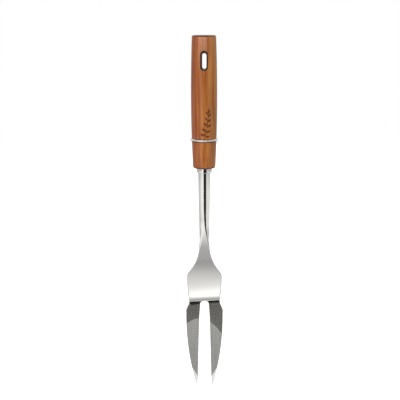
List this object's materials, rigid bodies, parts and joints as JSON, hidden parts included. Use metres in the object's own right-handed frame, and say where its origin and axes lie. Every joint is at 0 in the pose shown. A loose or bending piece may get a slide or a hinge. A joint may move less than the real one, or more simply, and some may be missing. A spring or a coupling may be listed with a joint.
{
  "type": "barbecue fork",
  "caption": "Barbecue fork with a barrel-shaped wood grip, a hang slot, a steel trim ring, a tapered shaft and a cranked head with long flat tines, for turning and lifting food.",
  "frame": {"origin": "centre of the hang slot, on the axis of the grip", "axes": "+Z along the fork from the tines to the butt end, so the tines point down; -Y out of the front face, the one with the concave bend; +X to the right seen from the front"},
  "size_m": [0.0354, 0.0266, 0.34],
  "materials": {
    "grip_wood": "red-brown hardwood, streaked along the grain, clear satin lacquer",
    "polished_steel": "mirror-polished stainless steel",
    "head_steel": "stainless steel, polished neck and satin tines brushed lengthwise",
    "slot_liner": "very dark brown, satin",
    "plain_steel": "bright zinc plate",
    "insert_brass": "turned"
  },
  "bodies": {
    "root": {"grip_main": "grip_wood", "grip_front": "grip_wood", "trim_ring": "polished_steel", "hang_slot_liner": "slot_liner", "tang_rod": "plain_steel", "insert_nut": "insert_brass", "front_collar": "polished_steel", "shaft_tube": "polished_steel", "fork_head": "head_steel"}
  },
  "joints": []
}
